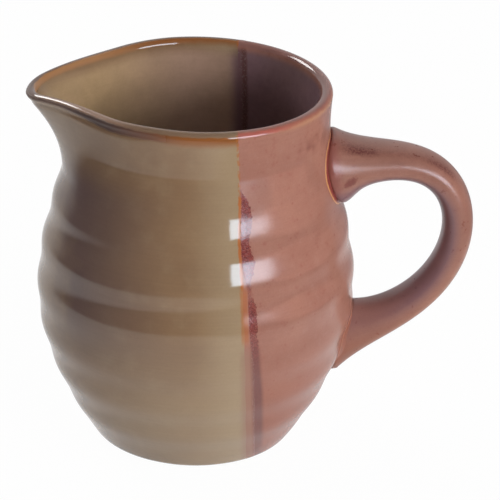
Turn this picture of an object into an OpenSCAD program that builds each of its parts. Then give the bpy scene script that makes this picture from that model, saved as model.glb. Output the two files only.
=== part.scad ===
// Cream jug in stoneware: a thrown body with a pulled spout, a handle stuck on
// with slip, and two dipped glazes that overlap on a line around one side.
// The jug stands on z = 0 with its axis on z. The spout points along -x and the
// handle along +x. Sizes are in millimetres and are sizes of the clay, so each
// coat of glaze adds its own thickness to them.

/* [Body] */
// Height of the clay from the table to the top of the rim
jug_h = 104.6; // [100:0.2:110]
// Widest diameter of the body, between ridge and groove
belly_d = 86.9; // [82:0.1:92]
// Height of the widest place
belly_z = 44; // [40:0.5:48]
// Diameter of the neck at its narrowest
neck_d = 70.1; // [67:0.1:73]
// Distance from the rim down to the narrowest place
neck_drop = 8.6; // [7:0.1:12]
// Outer diameter of the rim
rim_d = 70.8; // [68:0.1:74]
// Thickness of the clay across the rim
rim_wall = 2; // [1.6:0.1:2.6]
// Height over which the wall thins towards the rim
rim_taper = 14; // [8:0.5:20]
// Thickness of the wall
wall = 3.4; // [2.8:0.1:4.5]
// Thickness of the floor
floor_t = 4.5; // [3.5:0.1:6]
// Radius of the corner between the floor and the wall, inside
floor_corner = 10; // [6:0.5:14]

/* [Throwing ridges] */
// Height of a ridge over the groove beside it
ridge_h = 0.58; // [0.1:0.02:0.9]
// Distance from ridge to ridge at the widest place
ridge_pitch = 12.5; // [10:0.1:15]
// Height of the lowest full ridge
ridge_low_z = 14; // [10:0.5:20]
// Distance from the rim down to where the ridges end
ridge_drop = 16.6; // [12:0.1:22]
// Height over which the ridges fade out below that
ridge_fade_h = 16; // [8:0.5:24]

/* [Foot] */
// Outer diameter of the foot on the table
foot_d = 47.4; // [44:0.1:50]
// Width of the ring that stands on the table
foot_ring = 4; // [3:0.1:6]
// Depth of the hollow under the floor
foot_hollow = 2; // [1:0.1:3]
// Diameter of the body just above its rounded heel
heel_d = 56; // [53:0.1:60]
// Height of the rounded heel
heel_h = 2.6; // [2:0.1:3.5]
// Height of the bare clay between the table and the glaze
bare_h = 1.6; // [0.8:0.1:2]

/* [Spout] */
// How far the tip of the spout stands out from the rim
spout_reach = 11.7; // [9:0.1:14]
// Radius of the tip, seen from above
spout_tip_r = 11; // [9:0.1:13]
// How far the tip dips below the rim
spout_dip = 2.2; // [0:0.1:3.5]
// Distance from the rim down to where the spout begins to swell out of the neck
spout_drop = 24.6; // [20:0.1:28]

/* [Handle] */
// Distance from the rim down to the centre line where the handle leaves the neck
handle_drop = 23.2; // [21:0.1:26]
// Height of the centre line where the handle comes back to the body
handle_low_z = 31.7; // [29:0.1:35]
// How far the centre line stands out from the neck
handle_reach = 34.9; // [30:0.1:40]
// Thickness of the handle at its slimmest
handle_t = 7.7; // [6.5:0.1:9]
// Width of the handle at its slimmest
handle_w = 11.6; // [10:0.1:14]
// Growth of the half thickness where the handle joins the neck
root_top_t = 9.4; // [7:0.1:10]
// Growth of the half thickness where the handle joins the body
root_low_t = 7.8; // [6:0.1:9]
// Growth of the half width where the handle joins the neck
root_top_w = 5.8; // [3:0.1:7]

/* [Slip and glaze] */
// Thickness of the slip between the handle and the body
slip_t = 0.6; // [0.5:0.05:0.9]
// How far the slip is squeezed out around the handle
slip_bead = 0.9; // [0.6:0.05:1.2]
// Thickness of one coat of glaze
glaze_t = 0.4; // [0.3:0.05:0.45]
// Extra thickness where the two coats overlap
overlap_extra = 0.12; // [0.05:0.01:0.2]
// Width of the overlap
overlap_w = 2.4; // [1.5:0.1:4]
// Distance of the overlap from the axis, at overlap_z
overlap_x = 14; // [9:0.1:18]
// Height at which that distance is measured
overlap_z = 52; // [40:0.5:60]
// Lean of the overlap, in degrees
overlap_lean = 3.9; // [0:0.1:6]

/* [Hidden] */
$fn = 120;

belly_r = belly_d/2;
neck_r = neck_d/2;
rim_r = rim_d/2;
lip_r = rim_wall/2;
lip_z = jug_h - lip_r;
neck_z = jug_h - neck_drop;
spout_z = jug_h - spout_drop;
handle_top_z = jug_h - handle_drop;
floor_z = foot_hollow + floor_t;
far = jug_h + belly_d;

function smooth(t) = t*t*(3 - 2*t);
function steps(a, b, n) = [for (i = [0:n]) a + (b - a)*i/n];
function reversed(p) = [for (i = [len(p) - 1:-1:0]) p[i]];

// Radius of the clay: a full curve below the belly, an S curve up to the neck, then a flare
lower_curve = 1.8;
upper_curve = 1.1;
function below_r(z) =
    belly_r - (belly_r - heel_d/2)*pow((belly_z - z)/(belly_z - heel_h), lower_curve);
function above_r(z) =
    belly_r - (belly_r - neck_r)*smooth(pow((z - belly_z)/(neck_z - belly_z), upper_curve));
function flare_r(z) = neck_r + (rim_r - neck_r)*pow((z - neck_z)/(lip_z - neck_z), 2);
function side_r(z) = z < belly_z ? below_r(z) : z < neck_z ? above_r(z) : flare_r(z);

// What the heel takes off that radius near the table, as a quarter of an ellipse
heel_in = below_r(0) - foot_d/2;
function heel_cut(z) = z > heel_h ? 0 : heel_in*(1 - sqrt(1 - pow(1 - z/heel_h, 2)));

// What the ridges add and the grooves take, with a pitch that grows up the wall
ridge_turn = 0.575;
ridge_spread = 0.0157;
ridge_end_z = jug_h - ridge_drop;
ridge_fade = [[heel_h, 0.1], [ridge_low_z, 1], [ridge_end_z - ridge_fade_h, 0.9], [ridge_end_z, 0]];
function ridge_phase(v) = ridge_turn + v - ridge_spread*v*v;
function ridge(z) =
    ridge_h/2*lookup(z, ridge_fade)*cos(360*ridge_phase((z - belly_z)/ridge_pitch));

function outer_r(z) = side_r(z) - heel_cut(z) + ridge(z);
function wall_t(z) =
    wall - (wall - rim_wall)*smooth(max(0, (z - lip_z + rim_taper)/rim_taper));
function inner_r(z) = side_r(z) - wall_t(z);

// A path moved sideways by its own amount at each point, to the right as it is followed
function moved(p, t) =
    [for (i = [0:len(p) - 1])
        let (d = p[min(i + 1, len(p) - 1)] - p[max(i - 1, 0)])
        p[i] + t[i]*[d[1], -d[0]]/norm(d)];
function thicker(p, t) = moved(p, [for (q = p) t]);

// The wall's path: up the outside from the glaze line, over the lip, down to the floor
function lip(r, z) = [for (a = [22.5:22.5:157.5]) [r + lip_r*cos(a), z + lip_r*sin(a)]];
outside = [for (z = steps(bare_h, lip_z, 64)) [outer_r(z), z]];
inside = [for (z = steps(lip_z, floor_z + floor_corner, 26)) [inner_r(z), z]];
corner = [for (a = [15:15:90])
    let (z = floor_z + floor_corner*(1 - sin(a)))
    [inner_r(z) - floor_corner*(1 - cos(a)), z]];
wall_path = concat(outside, lip(rim_r - lip_r, lip_z), inside, corner, [[0, floor_z]]);

// The foot's path: out under the floor, down to the table and round the heel
foot_path = concat(
    [[0, foot_hollow], [foot_d/2 - foot_ring - foot_hollow, foot_hollow], [foot_d/2 - foot_ring, 0]],
    [for (a = [0:20:80]) let (z = bare_h*(1 - cos(a))) [outer_r(z), z]]);

module thrown_body() {
    rotate_extrude() polygon(concat(foot_path, wall_path));
}

// The body without its hollow and its spout, grown by t, to cut or to fit pieces against
module full_body(t) {
    rotate_extrude() polygon(concat([[0, bare_h]], thicker(outside, t), [[0, lip_z]]));
}

// A coat of thickness t over the wall, without the spout
module coat(t) {
    rotate_extrude() polygon(concat(wall_path, reversed(thicker(wall_path, t))));
}

// The wall grown by t on both its faces, and closed inside the clay
module grown_body(t) {
    rotate_extrude() polygon(concat(thicker(wall_path, t),
        [[0, floor_z - floor_t/2], thicker(outside, -wall/2)[0]]));
}

// The slice of the jug between two distances from the axis, along the lean of the overlap
module slice(from, to) {
    translate([0, 0, overlap_z]) rotate([0, -overlap_lean, 0])
        translate([from, -far, -far]) cube([to - from, 2*far, 2*far]);
}

// Triangles between the rings of n points at stations 0 to m, with both ends closed as strips
function skin(n, m) = [for (j = [0:m - 1], i = [0:n - 1], k = [0, 1])
    let (a = j*n + i, b = j*n + (i + 1)%n)
    k == 0 ? [a, b, b + n] : [a, b + n, a + n]];
function cap(n, first) = [for (i = [0:floor((n - 3)/2)], k = [0, 1])
    let (a = first + i, b = first + n - 1 - i)
    if (k == 0 || a + 1 < b - 1) k == 0 ? [a, b, a + 1] : [a + 1, b, b - 1]];
function flipped(f) = [for (q = f) reversed(q)];
function closed(n, m) = concat(skin(n, m), cap(n, 0), flipped(cap(n, m*n)));

// Seen from above, the spout's sides are tangents from the rim's circle to the tip's circle
tip_x = rim_r + spout_reach - spout_tip_r;
side_a = acos((rim_r - spout_tip_r)/tip_x);
tip_a = atan2(spout_tip_r*sin(side_a), tip_x + spout_tip_r*cos(side_a));
function plan_r(a) =
    a >= side_a ? rim_r :
    a >= tip_a ? rim_r/cos(side_a - a) :
    tip_x*cos(a) + sqrt(pow(spout_tip_r, 2) - pow(tip_x*sin(a), 2));
// Its swell grows up the neck, and its lip dips towards the tip, each along a power curve
swell_curve = 1.4;
dip_curve = 2.5;
function spout_out(a) = plan_r(abs(a)) - rim_r;
function spout_down(a) = spout_dip*(1 - pow(1 - spout_out(a)/spout_reach, dip_curve));
function spout_rise(z) = pow(max(0, z - spout_z)/(lip_z - spout_z), swell_curve);

// The spout is let into the body by these margins, and is thinner by let_in there
let_in = 0.08;
let_in_a = 2;
let_in_z = 1.5;
half_columns = concat(steps(0, tip_a, 4), [for (a = steps(tip_a, side_a, 7)) if (a > tip_a) a],
                      [side_a + let_in_a, side_a + 2*let_in_a]);
columns = concat([for (a = reversed(half_columns)) if (a > 0) -a], half_columns);
spout_rows = concat([spout_z - let_in_z], steps(spout_z + let_in_z/3, lip_z, 10));

function spout_path(a) = let (o = spout_out(a), d = spout_down(a)) concat(
    [for (z = spout_rows) [outer_r(z) + o*spout_rise(z), z - d*spout_rise(z)]],
    lip(rim_r - lip_r + o, lip_z - d),
    [for (z = reversed(spout_rows)) [inner_r(z) + o*spout_rise(z), z - d*spout_rise(z)]]);
function at_edge(a, i, n) = abs(a) > side_a || i < 2 || i > n - 3;
function let_in_path(a, t) =
    let (p = spout_path(a), n = len(p))
    moved(p, [for (i = [0:n - 1]) at_edge(a, i, n) ? t - let_in : t]);
function around(a, p) = [for (q = p) [-q[0]*cos(a), -q[0]*sin(a), q[1]]];

module spout_gap() {
    a = side_a + 1.25*let_in_a;
    translate([0, 0, spout_z]) linear_extrude(far)
        polygon([[0, 0], far*[-cos(a), sin(a)], [-far, far*sin(a)],
                 [-far, -far*sin(a)], far*[-cos(a), -sin(a)]]);
}

// The spout with t added to both faces of its wall
module spout_wall(t) {
    rings = [for (a = columns) around(a, let_in_path(a, t))];
    polyhedron([for (r = rings) each r], closed(len(rings[0]), len(rings) - 1));
}

module with_spout(t) {
    difference() {
        children();
        spout_gap();
    }
    spout_wall(t);
}

// The handle's centre line is one curve through the plane y = 0, from six control points.
// They are given in shares of its reach and of its height.
root_in = 2.6;
handle_root = [outer_r(handle_top_z) - root_in, handle_top_z];
handle_size = [handle_reach + root_in, handle_top_z - handle_low_z];
handle_shares = [[0, 0], [0.62, 0.055], [1, 0.305], [1.44, -0.505], [0.79, -0.885], [0.095, -1]];
handle_points = [for (s = handle_shares)
    handle_root + [s[0]*handle_size[0], s[1]*handle_size[1]]];
function curve(p, t) = len(p) == 1 ? p[0] :
    curve([for (i = [0:len(p) - 2]) p[i]*(1 - t) + p[i + 1]*t], t);
function along(p, t) =
    let (d = curve([for (i = [0:len(p) - 2]) p[i + 1] - p[i]], t)) d/norm(d);

// Its section is a rounded strap that grows into both roots, the quicker the higher the power
handle_sides = 20;
top_t_curve = 11.8;
low_t_curve = 15;
top_w_curve = 6;
strap_curve = 0.9;
function half_t(t) =
    handle_t/2 + root_top_t*pow(1 - t, top_t_curve) + root_low_t*pow(t, low_t_curve);
function half_w(t) = handle_w/2 + root_top_w*pow(1 - t, top_w_curve);
function rounded(v) = sign(v)*pow(abs(v), strap_curve);
function section(t, grow, push) =
    let (d = along(handle_points, t), c = curve(handle_points, t) + push*d,
         u = half_t(t) + grow, v = half_w(t) + grow)
    [for (i = [0:handle_sides - 1])
        let (a = 360*(i + 0.5)/handle_sides, s = u*rounded(cos(a)))
        [c[0] - d[1]*s, v*rounded(sin(a)), c[1] + d[0]*s]];

// Stations lie closer together at the roots, and each end is pushed on into the body
root_push = [6, 9];
function closer(s) = 0.5 - 0.5*cos(180*s);
handle_stations = [for (s = steps(0, 1, 34)) closer(s)];
function strap(stations, grow) = concat(
    stations[0] == 0 ? [section(0, grow, -root_push[0])] : [],
    [for (t = stations) section(t, grow, 0)],
    stations[len(stations) - 1] == 1 ? [section(1, grow, root_push[1])] : []);

module strap_solid(stations, grow) {
    rings = strap(stations, grow);
    polyhedron([for (r = rings) each r], closed(handle_sides, len(rings) - 1));
}

module strap_coat(stations, t) {
    n = handle_sides;
    outer = strap(stations, t);
    inner = strap(stations, 0);
    m = len(outer) - 1;
    o = n*(m + 1);
    ends = [for (i = [0:n - 1], k = [0, 1])
        let (j = (i + 1)%n)
        k == 0 ? [i, i + o, j + o] : [i, j + o, j]];
    far_ends = [for (f = flipped(ends)) [for (v = f) v + m*n]];
    polyhedron([for (r = concat(outer, inner)) each r],
               concat(skin(n, m), [for (f = flipped(skin(n, m))) [for (v = f) v + o]],
                      ends, far_ends));
}

top_stations = [for (t = handle_stations) if (t < 0.16) t];
low_stations = [for (t = handle_stations) if (t > 0.86) t];

module slip(stations) {
    intersection() {
        difference() {
            full_body(slip_t);
            full_body(0);
        }
        strap_solid(stations, slip_bead);
    }
}

// What the handle and its slip take up of the coat, on the outside of the wall only
module joint_room() {
    difference() {
        union() {
            strap_solid(top_stations, slip_bead);
            strap_solid(low_stations, slip_bead);
        }
        full_body(-wall/2);
    }
}

module body() {
    color("wheat") with_spout(0) thrown_body();
}

module handle() {
    color("tan") difference() {
        strap_solid(handle_stations, 0);
        full_body(slip_t);
    }
}

module upper_slip_joint() {
    color("sandybrown") slip(top_stations);
}

module lower_slip_joint() {
    color("peru") slip(low_stations);
}

module olive_glaze() {
    color("darkkhaki") difference() {
        intersection() {
            with_spout(glaze_t) grown_body(glaze_t);
            slice(-far, overlap_x);
        }
        with_spout(0) thrown_body();
    }
}

module terracotta_glaze() {
    color("rosybrown") difference() {
        intersection() {
            coat(glaze_t);
            slice(overlap_x + overlap_w, far);
        }
        joint_room();
    }
}

module glaze_overlap() {
    color("maroon") intersection() {
        coat(glaze_t + overlap_extra);
        slice(overlap_x, overlap_x + overlap_w);
    }
}

module handle_glaze() {
    color("indianred") difference() {
        strap_coat(handle_stations, glaze_t);
        full_body(slip_t);
    }
}

body();
handle();
upper_slip_joint();
lower_slip_joint();
olive_glaze();
terracotta_glaze();
glaze_overlap();
handle_glaze();
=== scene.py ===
# A thrown stoneware cream jug: its clay, two dipped glazes and the strip where they overlap,
# a strap handle and the slip that holds it. Its shapes are worked out in millimetres.

import math

import bmesh
import bpy
import numpy as np
from mathutils import Matrix, Vector


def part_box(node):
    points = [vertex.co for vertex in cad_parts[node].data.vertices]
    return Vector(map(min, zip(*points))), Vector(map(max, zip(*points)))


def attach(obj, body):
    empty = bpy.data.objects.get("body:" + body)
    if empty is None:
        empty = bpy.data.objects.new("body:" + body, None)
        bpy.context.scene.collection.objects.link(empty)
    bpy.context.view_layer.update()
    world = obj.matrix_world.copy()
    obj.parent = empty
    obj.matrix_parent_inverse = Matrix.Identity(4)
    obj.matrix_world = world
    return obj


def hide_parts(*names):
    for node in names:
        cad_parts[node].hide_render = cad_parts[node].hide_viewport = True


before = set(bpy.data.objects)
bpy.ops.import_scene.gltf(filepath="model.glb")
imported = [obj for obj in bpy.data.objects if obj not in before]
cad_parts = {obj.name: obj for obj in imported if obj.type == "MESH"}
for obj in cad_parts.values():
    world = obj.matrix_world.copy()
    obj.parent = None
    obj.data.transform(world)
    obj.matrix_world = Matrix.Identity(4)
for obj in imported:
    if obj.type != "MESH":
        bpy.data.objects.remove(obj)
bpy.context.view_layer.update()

# The parts from model.glb give the height of the clay and the thickness of one coat of glaze
MM = 0.001
clay_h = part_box("body")[1].z/MM
glaze_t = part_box("olive_glaze")[1].z/MM - clay_h
rim_drop = 0.3
jug_h = clay_h - rim_drop

# The thrown body
belly_r = 43.45
belly_z = 44.0
neck_r = 35.05
neck_drop = 8.6
neck_z = jug_h - neck_drop
rim_r = 35.4
rim_wall = 2.6
rim_taper = 14.0
lip_r = rim_wall/2
lip_z = jug_h - lip_r
wall = 3.4
foot_r = 23.7
foot_ring = 4.0
foot_hollow = 2.0
floor_t = 4.5
floor_z = foot_hollow + floor_t
floor_corner = 10.0
floor_reach = 30.0
heel_r = 28.0
heel_h = 2.6
bare_h = 1.6
glaze_edge_h = 0.9
lower_curve = 1.8
upper_curve = 1.1

# The throwing ridge, one spiral that rises and widens up the wall
ridge_h = 0.288
ridge_grows = 0.111
ridge_mid_z = 45.0
ridge_start = 0.4055
ridge_turns = 3.595
ridge_spread = -0.203
ridge_foot_z = 14.0
ridge_fade_z = 68.0
ridge_drop = 16.6
ridge_end_z = jug_h - ridge_drop

# A crease round the near side of the neck, and a groove under the spout's lip
crease_depth = 0.46
crease_z = 91.2
crease_rise = 0.3
crease_w = 2.8
crease_turn = math.radians(-85)
crease_half = math.radians(66)
crease_blunt = 0.15
groove_depth = 0.4
groove_down = 2.6
groove_w = 1.0
groove_from = -24.0
groove_to = -8.0

# The pulled spout. Its rim is a little fuller beside the tip, and sags a little all along.
# Both fade out over an angle from the tip.
spout_reach = 11.7
spout_tip_r = 11.0
spout_dip = 2.1
spout_sag = 0.5
sag_from = 0.73
sag_fade = 0.58
spout_full = 0.5
full_rise = 0.25
full_from = 0.75
full_fade = 0.5
spout_drop = 24.6
spout_z = jug_h - spout_drop
swell_curve = 1.4
dip_curve = 2.0

# The pulled handle: its centre line, and a section that grows into both roots. A flare is the
# power by which a root grows, so that a higher one keeps the root shorter.
handle_drop = 23.2
handle_top_z = jug_h - handle_drop
handle_low_z = 31.7
handle_reach = 34.9
handle_t = 7.7
handle_w = 11.6
root_in = 2.6
root_top_t = 9.4
root_under_t = 5.7
root_under = (0.022, 0.052)
root_low_t = 7.8
root_top_w = 5.8
top_flare = 11.8
under_flare = 3
low_flare = 15
side_flare = 6
strap_square = 0.9
clay_let_in = 0.8
coat_let_in = 0.5
coat_gap = 0.02
root_push = 60.0
root_round = 1.8
low_round = 0.7
handle_shares = [(0, 0), (0.62, 0.055), (1, 0.305), (1.44, -0.505), (0.79, -0.885), (0.095, -1)]

# The slip, and its bead that is squeezed out around the strap
pad_in = 1.6
bead_least = 0.5
bead_sink = 0.06
bead_w = 1.9
bead_h = 0.45
low_bead_w = 3.0
low_bead_h = 5.0
bead_curve = 1.6
low_bead_curve = 3.2

# The overlap of the two coats
overlap_extra = 0.04
overlap_w = 2.4
overlap_x = 14.0
overlap_z = 52.0
overlap_lean = 0.0484
overlap_bend = 0.000326
overlap_bow = 0.95
overlap_bow_z = 74.0
overlap_bow_h = 11.0
far_shift = 1.1
far_from = 2.0
far_to = 14.0

# How finely the meshes are divided
outside_rows = 190
inside_rows = 60
lip_steps = 17
corner_steps = 15
floor_steps = 16
heel_steps = 9
body_columns = 144
olive_columns = 150
terracotta_columns = 96
overlap_columns = 10
strap_columns = 80
clay_stations = 120
glaze_stations = 170
wall_steps = 900
pad_rings = 6
bead_rings = 12
weld_gap = 0.001
smooth_angle = math.radians(50)


def smooth(t):
    t = np.clip(t, 0, 1)
    return t*t*(3 - 2*t)


def side_r(z):
    """Radius of the clay: a full curve below the belly, an S curve up to the neck, then a flare."""
    z = np.asarray(z, float)
    low = np.clip((belly_z - z)/(belly_z - heel_h), 0, None)
    high = np.clip((z - belly_z)/(neck_z - belly_z), 0, 1)
    flare = np.clip((z - neck_z)/(lip_z - neck_z), 0, None)
    below = belly_r - (belly_r - heel_r)*low**lower_curve
    above = belly_r - (belly_r - neck_r)*smooth(high**upper_curve)
    return np.where(z < belly_z, below, np.where(z < neck_z, above, neck_r + (rim_r - neck_r)*flare**2))


def outer_r(z):
    """Radius of the outside, with the heel rounded off like a quarter of an ellipse."""
    heel_in = side_r(0) - foot_r
    up = np.clip(1 - np.asarray(z, float)/heel_h, 0, 1)
    return side_r(z) - heel_in*(1 - np.sqrt(1 - up**2))


def inner_r(z):
    taper = smooth((np.asarray(z, float) - lip_z + rim_taper)/rim_taper)
    return side_r(z) - wall + (wall - rim_wall)*taper


def seam_x(z, across=0.0):
    """Distance of the overlap's edge from the axis at a height."""
    drop = overlap_z - z
    bow = overlap_bow/(1 + ((z - overlap_bow_z)/overlap_bow_h)**2)
    return overlap_x + across + overlap_lean*drop - overlap_bend*drop*drop - bow


def wall_rows():
    """The wall's path: up the outside from the glaze line, over the lip, down to the floor's middle."""
    up = np.linspace(bare_h, lip_z, outside_rows)
    lip_turn = np.radians(np.linspace(0, 180, lip_steps))[1:-1]
    down = np.linspace(lip_z, floor_z + floor_corner, inside_rows)
    corner_turn = np.radians(np.linspace(0, 90, corner_steps))[1:]
    corner = floor_z + floor_corner*(1 - np.sin(corner_turn))
    corner_r = inner_r(corner) - floor_corner*(1 - np.cos(corner_turn))
    seams = [seam_x(floor_z), seam_x(floor_z, overlap_w)]
    floor_r = np.unique(np.concatenate([np.linspace(0, corner_r[-1], floor_steps), seams]))[::-1][1:]
    over_r = rim_r - lip_r + lip_r*np.cos(lip_turn)
    over_z = lip_z + lip_r*np.sin(lip_turn)
    r = np.concatenate([outer_r(up), over_r, inner_r(down), corner_r, floor_r])
    z = np.concatenate([up, over_z, down, corner, np.full(len(floor_r), floor_z)])
    outside = np.concatenate([np.ones(len(up)), np.zeros(len(r) - len(up))])
    run = np.concatenate([[0], np.cumsum(np.hypot(np.diff(r), np.diff(z)))])
    return r, z, outside, run - run[len(up) + len(lip_turn)//2]


row_r, row_z, row_outside, row_from_lip = wall_rows()

# Seen from above, the spout's sides are tangents from the rim's circle to the tip's circle
tip_x = rim_r + spout_reach - spout_tip_r
side_a = math.acos((rim_r - spout_tip_r)/tip_x)
tip_a = math.atan2(spout_tip_r*math.sin(side_a), tip_x + spout_tip_r*math.cos(side_a))


def spout_out(turn):
    """How far the spout carries the rim outwards, at an angle from the axis +X."""
    a = np.abs((turn + 2*np.pi) % (2*np.pi) - np.pi)
    straight = rim_r/np.cos(np.clip(side_a - a, 0, None))
    tip = tip_x*np.cos(a) + np.sqrt(np.clip(spout_tip_r**2 - (tip_x*np.sin(a))**2, 0, None))
    full = spout_full*smooth(a/full_rise)*(1 - smooth((a - full_from)/full_fade))
    return np.where(a >= side_a, rim_r, np.where(a >= tip_a, straight, tip)) - rim_r + full


def spout_down(turn):
    """How far the rim goes down towards the spout's tip."""
    a = np.abs((turn + 2*np.pi) % (2*np.pi) - np.pi)
    sag = spout_sag*(1 - smooth((a - sag_from)/sag_fade))
    return sag + spout_dip*(spout_out(turn)/spout_reach)**dip_curve


def wall_points(r, z, turn, t):
    """Points of the wall's path at angles, pushed out by the spout and moved by t along the normal."""
    out = spout_out(turn)
    down = spout_down(turn)
    rise = np.clip((z - spout_z)/(lip_z - spout_z), 0, 1)[:, None]**swell_curve
    pr = r[:, None] + out*rise
    pz = z[:, None] - down*rise
    dr = np.gradient(pr, axis=0)
    dz = np.gradient(pz, axis=0)
    run = np.hypot(dr, dz)
    pr = pr + t*dz/run
    pz = pz - t*dr/run
    return np.stack([pr*np.cos(turn), pr*np.sin(turn), pz], axis=-1)


class Wire:
    """An output of a node. Sums, products and powers of wires add Math nodes to the same tree."""

    def __init__(self, tree, socket=None):
        self.tree = tree
        self.socket = socket

    def node(self, kind, settings=None, sockets=None):
        """Adds a node, sets its settings, then its sockets' values or links, and gives its first output."""
        made = self.tree.nodes.new(kind)
        for name, value in (settings or {}).items():
            if name == "stops":
                lay_stops(made.color_ramp, value)
            else:
                setattr(made, name, value)
        for name, value in (sockets or {}).items():
            if isinstance(value, Wire):
                self.tree.links.new(value.socket, made.inputs[name])
            else:
                made.inputs[name].default_value = value
        return Wire(self.tree, made.outputs[0] if len(made.outputs) else None)

    def out(self, name):
        return Wire(self.tree, self.socket.node.outputs[name])

    def math(self, operation, *values):
        return self.node("ShaderNodeMath", {"operation": operation}, dict(enumerate(values)))

    def __add__(self, other):
        return self.math("ADD", self, other)

    __radd__ = __add__

    def __sub__(self, other):
        return self.math("SUBTRACT", self, other)

    def __rsub__(self, other):
        return self.math("SUBTRACT", other, self)

    def __mul__(self, other):
        return self.math("MULTIPLY", self, other)

    __rmul__ = __mul__

    def __truediv__(self, other):
        return self.math("DIVIDE", self, other)

    def __rtruediv__(self, other):
        return self.math("DIVIDE", other, self)

    def __pow__(self, other):
        return self.math("POWER", self, other)

    def __abs__(self):
        return self.math("ABSOLUTE", self)

    def between(self, low, high):
        """0 at low, 1 at high, with a soft step between them."""
        return self.node("ShaderNodeMapRange", {"interpolation_type": "SMOOTHSTEP"},
                         {"Value": self, "From Min": low, "From Max": high})

    def band(self, low, high, edge):
        """1 between two values, with soft edges."""
        return self.between(low - edge, low + edge)*(1 - self.between(high - edge, high + edge))


def lay_stops(ramp, stops):
    (first, first_colour), (last, last_colour) = stops[0], stops[-1]
    ramp.elements[0].position = first
    ramp.elements[0].color = first_colour
    ramp.elements[1].position = last
    ramp.elements[1].color = last_colour
    for place, colour in stops[1:-1]:
        ramp.elements.new(place).color = colour


def mixed(share, under, over):
    """One colour laid over another by a share."""
    return share.node("ShaderNodeMix", {"data_type": "RGBA"}, {0: share, 6: under, 7: over}).out(2)


def lit(share, colour, low, high):
    """A colour made darker or lighter by a share from 0 to 1."""
    level = low + (high - low)*share
    grey = share.node("ShaderNodeCombineColor", {}, {"Red": level, "Green": level, "Blue": level})
    return share.node("ShaderNodeMix", {"data_type": "RGBA", "blend_type": "MULTIPLY"},
                      {0: 1.0, 6: colour, 7: grey}).out(2)


class Spot:
    """Where a point of the surface is, in millimetres, and the patterns laid out from there."""

    def __init__(self, start):
        self.start = start
        place = start.node("ShaderNodeTexCoord").out("Object")
        self.place = start.node("ShaderNodeVectorMath", {"operation": "SCALE"}, {0: place, "Scale": 1/MM})
        apart = start.node("ShaderNodeSeparateXYZ", {}, {0: self.place})
        self.x = apart.out("X")
        self.y = apart.out("Y")
        self.z = apart.out("Z")
        self.past_seam = self.x - seam_x(self.z) + far_shift*self.y.between(far_from, far_to)

    def value(self, name):
        return self.start.node("ShaderNodeAttribute", {"attribute_name": name}).out("Fac")

    def noise(self, size, detail=2.0, place=None, roughness=0.5):
        return self.start.node("ShaderNodeTexNoise", {},
                               {"Vector": place or self.place, "Scale": 1/size, "Detail": detail,
                                "Roughness": roughness})

    def specks(self, size, share):
        """Round specks on about that share of the cells of a grid of that size."""
        cells = self.start.node("ShaderNodeTexVoronoi", {}, {"Vector": self.place, "Scale": 1/size})
        picked = self.start.node("ShaderNodeSeparateColor", {}, {0: cells.out("Color")}).out("Red")
        return (1 - cells.out("Distance").between(0.12, 0.32))*(1 - picked.between(share - 0.02, share))

    def mottle(self):
        return self.noise(2.4, 4.0, roughness=0.65)

    def finger_lines(self):
        """Faint level lines round the wall, a little uneven from side to side."""
        drift = self.noise(26.0, 1.0)
        return self.noise(0.55, 2.0, self.stretched(drift*3.0, 0.0, self.z))

    def stretched(self, x, y, z):
        return self.start.node("ShaderNodeCombineXYZ", {}, {"X": x, "Y": y, "Z": z})

    def bump(self, height, strength, distance):
        return self.start.node("ShaderNodeBump", {}, {"Strength": strength, "Distance": distance*MM,
                                                      "Height": height})


def new_material(name):
    made = bpy.data.materials.new(name)
    made.use_nodes = True
    made.node_tree.nodes.clear()
    return made, Wire(made.node_tree)


def lay_surface(start, shader):
    start.node("ShaderNodeOutputMaterial", {}, {"Surface": shader})


def lay_finish(start, colour, roughness, gloss, normal):
    """The surface of a fired piece. A higher gloss mirrors more."""
    lay_surface(start, start.node("ShaderNodeBsdfPrincipled", {}, {
        "Base Color": colour, "Roughness": roughness, "IOR": gloss, "Normal": normal}))


# Colours of the glazes, the lip, the overlap and the bare clay, and of shade painted on them
olive = (0.262, 0.160, 0.087, 1)
olive_deep = (0.228, 0.136, 0.076, 1)
olive_pale = (0.370, 0.270, 0.165, 1)
# Painted shade and painted dark reflection for the olive's spout side
olive_shade_mauve = (0.125, 0.080, 0.076, 1)
olive_inside = (0.440, 0.300, 0.165, 1)
brown_inside = (0.410, 0.270, 0.200, 1)
rust = (0.255, 0.084, 0.018, 1)
rust_pale = (0.420, 0.200, 0.085, 1)
lip_rust = (0.140, 0.056, 0.032, 1)
lip_dark = (0.072, 0.034, 0.026, 1)
lip_brown = (0.150, 0.086, 0.066, 1)
rim_red = (0.400, 0.090, 0.070, 1)
lip_pale = (0.340, 0.210, 0.145, 1)
# Painted shade for the inside of the handle's bend
bend_shade_mauve = (0.172, 0.096, 0.122, 1)
taupe = (0.215, 0.135, 0.085, 1)
terracotta = (0.368, 0.168, 0.122, 1)
terracotta_deep = (0.335, 0.148, 0.108, 1)
terracotta_pale = (0.390, 0.190, 0.148, 1)
# Painted shade: the terracotta's inside, darker and mauver than its outside
terracotta_inside_shade = (0.215, 0.132, 0.155, 1)
terracotta_low = (0.302, 0.105, 0.066, 1)
rim_rose = (0.235, 0.112, 0.098, 1)
maroon = (0.235, 0.046, 0.040, 1)
maroon_deep = (0.120, 0.023, 0.022, 1)
maroon_mauve = (0.165, 0.072, 0.064, 1)
orange = (0.420, 0.122, 0.024, 1)
orange_light = (0.620, 0.290, 0.120, 1)
terracotta_orange = (0.395, 0.178, 0.118, 1)
terracotta_tan = (0.520, 0.270, 0.140, 1)
dull_pink = (0.300, 0.165, 0.112, 1)
clay = (0.520, 0.375, 0.245, 1)
clay_pale = (0.610, 0.460, 0.320, 1)
iron_speck = (0.120, 0.060, 0.035, 1)

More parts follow.
